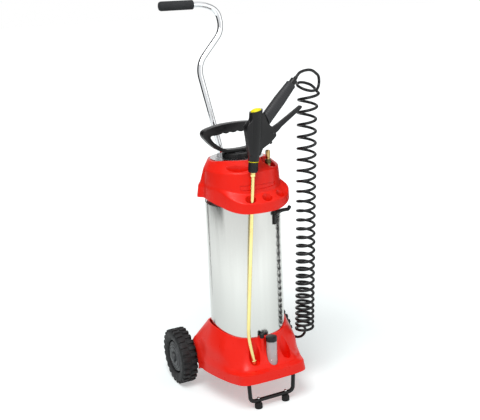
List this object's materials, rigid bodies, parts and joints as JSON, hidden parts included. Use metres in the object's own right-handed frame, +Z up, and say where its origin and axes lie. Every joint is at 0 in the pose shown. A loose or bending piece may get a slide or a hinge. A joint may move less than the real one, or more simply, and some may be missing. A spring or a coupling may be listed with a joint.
{
  "type": "wheeled garden sprayer",
  "caption": "Upright compression sprayer on two wheels: steel pressure tank in a moulded base and cover, hand pump, bent carrying tube, spray gun and lance, coiled hose.",
  "frame": {"origin": "on the floor, under the middle of the cart without its free hose", "axes": "+Z up, -Y towards the front with the stand and the lance, +X towards the coiled hose; the axle runs along X"},
  "size_m": [0.3918, 0.366, 1.0523],
  "materials": {
    "red_plastic": "smooth moulded, slightly glossy",
    "black_plastic": "fine satin moulding",
    "grey_plastic": "satin moulding",
    "stainless": "bright rolled steel",
    "chrome": "polished plating",
    "brass": "bright turned brass",
    "rubber": "matt",
    "tyre": "matt, block tread",
    "foam": "closed-cell foam",
    "yellow_plastic": "smooth moulded",
    "clear_plastic": "cloudy clear moulding",
    "hose": "smooth extruded hose"
  },
  "bodies": {
    "chassis": {"base_shell": "red_plastic", "cover_shell": "red_plastic", "stand_bar": "black_plastic", "pump_barrel": "black_plastic", "pump_nut": "black_plastic", "tube_clamp": "black_plastic", "lance_nut": "black_plastic", "valve_body": "black_plastic", "gun_grip": "black_plastic", "hose_sleeve": "black_plastic", "spare_nozzle": "black_plastic", "hose_hook": "black_plastic", "axle_spacer_left": "grey_plastic", "axle_spacer_right": "grey_plastic", "tank_shell": "stainless", "tank_top": "stainless", "tank_bottom": "stainless", "filler_neck": "stainless", "neck_plate": "stainless", "foot_screw_left": "stainless", "foot_screw_right": "stainless", "axle": "stainless", "axle_clip_left": "stainless", "axle_clip_right": "stainless", "socket_bolt": "stainless", "lever_pin": "stainless", "carrying_tube": "chrome", "lance_tube": "brass", "lance_ferrule": "brass", "nozzle": "brass", "hose_outlet": "brass", "relief_body": "brass", "relief_ring": "brass", "foot_pad_left": "rubber", "foot_pad_right": "rubber", "pump_foot_valve": "rubber", "carrying_grip": "foam", "lance_seal": "yellow_plastic", "valve_cap": "yellow_plastic", "hose_upper": "hose", "hose_coil": "hose", "hose_lower": "hose"},
    "wheel_left": {"tyre_left": "tyre", "hub_left": "grey_plastic", "hub_cap_left": "grey_plastic"},
    "wheel_right": {"tyre_right": "tyre", "hub_right": "grey_plastic", "hub_cap_right": "grey_plastic"},
    "pump_turn": {"rod_guide": "grey_plastic"},
    "pump_stroke": {"pump_rod": "chrome", "pump_piston": "black_plastic", "piston_seal": "rubber", "pump_handle": "black_plastic"},
    "trigger": {"trigger_lever": "black_plastic"},
    "trigger_lock": {"lock_button": "black_plastic"},
    "relief_pull": {"relief_cap": "brass"},
    "nozzle_tube": {"nozzle_box": "clear_plastic"},
    "nozzle_tube_lid": {"nozzle_box_lid": "black_plastic"}
  },
  "joints": [
    {"name": "wheel_left_spin", "type": "hinge", "parent": "chassis", "child": "wheel_left", "pos_m": [-0.154, 0.105, 0.078], "axis": [1, 0, 0], "continuous": true},
    {"name": "wheel_right_spin", "type": "hinge", "parent": "chassis", "child": "wheel_right", "pos_m": [0.154, 0.105, 0.078], "axis": [1, 0, 0], "continuous": true},
    {"name": "pump_handle_turn", "type": "hinge", "parent": "chassis", "child": "pump_turn", "pos_m": [0, -0.003, 0.665], "axis": [0, 0, 1], "range_deg": [-45, 45]},
    {"name": "pump_handle_stroke", "type": "slide", "parent": "pump_turn", "child": "pump_stroke", "axis": [0, 0, 1], "range_m": [0, 0.26]},
    {"name": "trigger_squeeze", "type": "hinge", "parent": "chassis", "child": "trigger", "pos_m": [0.03458, -0.133, 0.72765], "axis": [0, -1, 0], "range_deg": [0, 13], "stiffness_Nm_per_rad": 0.5},
    {"name": "trigger_lock_push", "type": "slide", "parent": "chassis", "child": "trigger_lock", "axis": [-0.6597, 0, 0.7515], "range_m": [0, 0.004], "stiffness_N_per_m": 300},
    {"name": "relief_cap_pull", "type": "slide", "parent": "chassis", "child": "relief_pull", "axis": [0, 0, 1], "range_m": [0, 0.003], "stiffness_N_per_m": 500},
    {"name": "nozzle_tube_lift", "type": "slide", "parent": "chassis", "child": "nozzle_tube", "axis": [0, 0, 1], "range_m": [0, 0.1]},
    {"name": "nozzle_tube_lid_lift", "type": "slide", "parent": "nozzle_tube", "child": "nozzle_tube_lid", "axis": [0, 0, 1], "range_m": [0, 0.03]}
  ]
}
